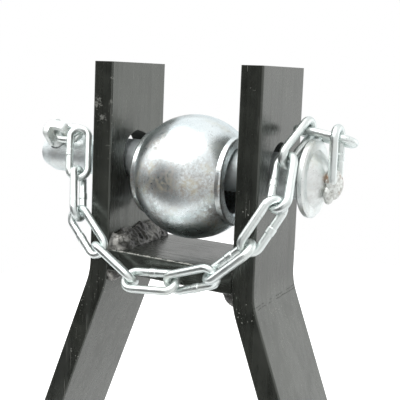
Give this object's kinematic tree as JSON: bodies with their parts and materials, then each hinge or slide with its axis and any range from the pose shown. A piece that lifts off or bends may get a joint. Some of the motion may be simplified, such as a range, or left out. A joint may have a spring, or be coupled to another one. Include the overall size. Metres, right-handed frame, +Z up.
{
  "type": "three-point hitch drawbar",
  "caption": "A-frame tractor drawbar: drilled flat bar with a pin at each end, two flat legs, and a top pin that carries a turning ball and a chained linch pin.",
  "frame": {"origin": "centre hole of the bar, on its underside", "axes": "+Z up the A-frame, +X along the bar to the side of the top pin's head, -Y the side that the chain hangs on"},
  "size_m": [0.803, 0.076, 0.5185],
  "materials": {
    "frame_paint": "black gloss paint with fine scratches and chips",
    "painted_weld": "black gloss paint over rough weld beads",
    "zinc_ball": "bright zinc plating with fine pits",
    "zinc_pin": "bright zinc plating",
    "zinc_chain": "bright zinc plating on drawn wire",
    "plated_weld": "rough dull plating over weld, with rust spots"
  },
  "bodies": {
    "frame": {"drawbar": "frame_paint", "lower_pin_left": "frame_paint", "lower_pin_right": "frame_paint", "lower_pin_welds": "painted_weld", "left_leg": "frame_paint", "right_leg": "frame_paint", "leg_foot_welds": "painted_weld", "cross_plate": "frame_paint", "cross_plate_welds": "painted_weld"},
    "hitch_ball": {"hitch_ball": "zinc_ball"},
    "top_pin": {"top_link_pin": "zinc_pin", "pin_head": "zinc_pin", "pin_head_weld": "zinc_pin", "head_link": "zinc_chain", "head_link_weld": "plated_weld", "chain_link_11": "zinc_chain"},
    "linch_pin": {"linch_pin": "zinc_pin"},
    "chain": {"coupling_link": "zinc_chain", "chain_link_01": "zinc_chain", "chain_link_02": "zinc_chain", "chain_link_03": "zinc_chain", "chain_link_04": "zinc_chain", "chain_link_05": "zinc_chain", "chain_link_06": "zinc_chain", "chain_link_07": "zinc_chain", "chain_link_08": "zinc_chain", "chain_link_09": "zinc_chain", "chain_link_10": "zinc_chain"}
  },
  "joints": [
    {"name": "pin_turn", "type": "hinge", "parent": "frame", "child": "top_pin", "pos_m": [0, 0, 0.47305], "axis": [-1, 0, 0], "range_deg": [0, 35]},
    {"name": "ball_turn", "type": "hinge", "parent": "frame", "child": "hitch_ball", "pos_m": [0, 0, 0.46825], "axis": [1, 0, 0], "continuous": true},
    {"name": "linch_lift", "type": "slide", "parent": "top_pin", "child": "linch_pin", "axis": [0, -0.6428, 0.766], "range_m": [0, 0.011]},
    {"name": "chain_follow", "type": "hinge", "parent": "top_pin", "child": "chain", "pos_m": [0.0527, -0.00036, 0.49274], "axis": [0, 0.766, 0.6428], "range_deg": [0, 10]}
  ],
  "couplings": [
    {"joint": "chain_follow", "follows": "linch_lift", "rad_per_m": 8.107}
  ]
}
